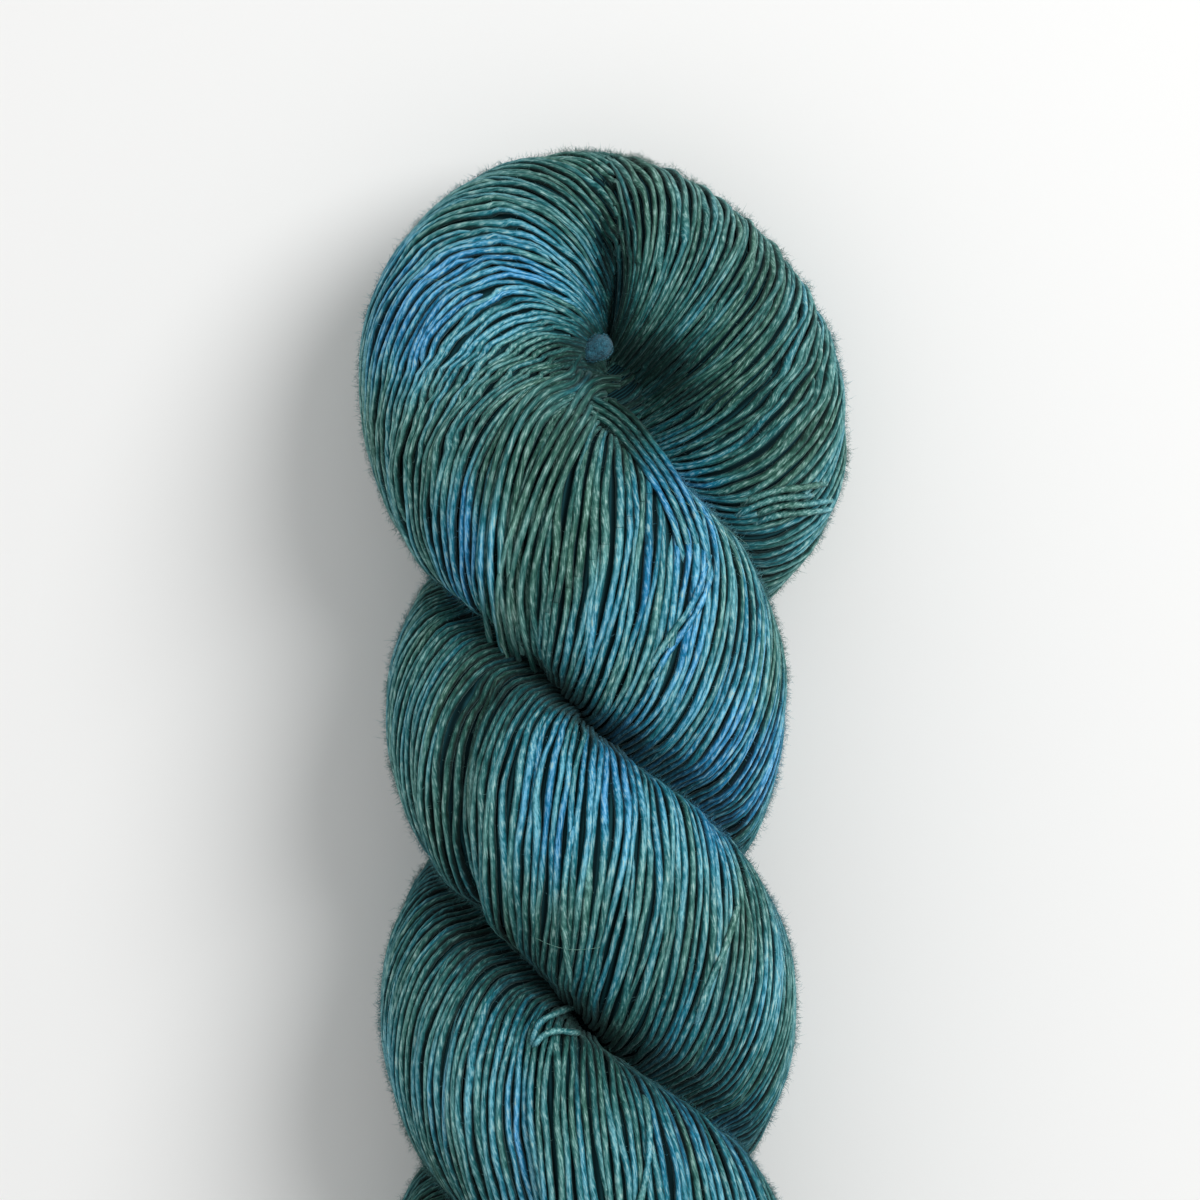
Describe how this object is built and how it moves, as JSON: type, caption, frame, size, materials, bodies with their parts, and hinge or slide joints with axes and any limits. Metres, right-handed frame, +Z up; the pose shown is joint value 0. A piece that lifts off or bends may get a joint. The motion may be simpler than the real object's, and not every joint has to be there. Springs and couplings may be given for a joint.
{
  "type": "twisted skein of yarn",
  "caption": "Hand-dyed teal and blue yarn wound as a hank, twisted, folded in two and tucked at its foot, lying on its back.",
  "frame": {"origin": "middle of the bounding box in X and Y, on the plane that the hank rests on", "axes": "+Y from the tucked foot to the folded head, +Z up from the surface, +X to the right seen from above with the head away"},
  "size_m": [0.078, 0.2674, 0.0576],
  "materials": {
    "yarn": "hand-dyed single-ply wool yarn, teal and blue, softly lustrous with a fine halo"
  },
  "bodies": {
    "root": {"hank": "yarn"}
  },
  "joints": []
}
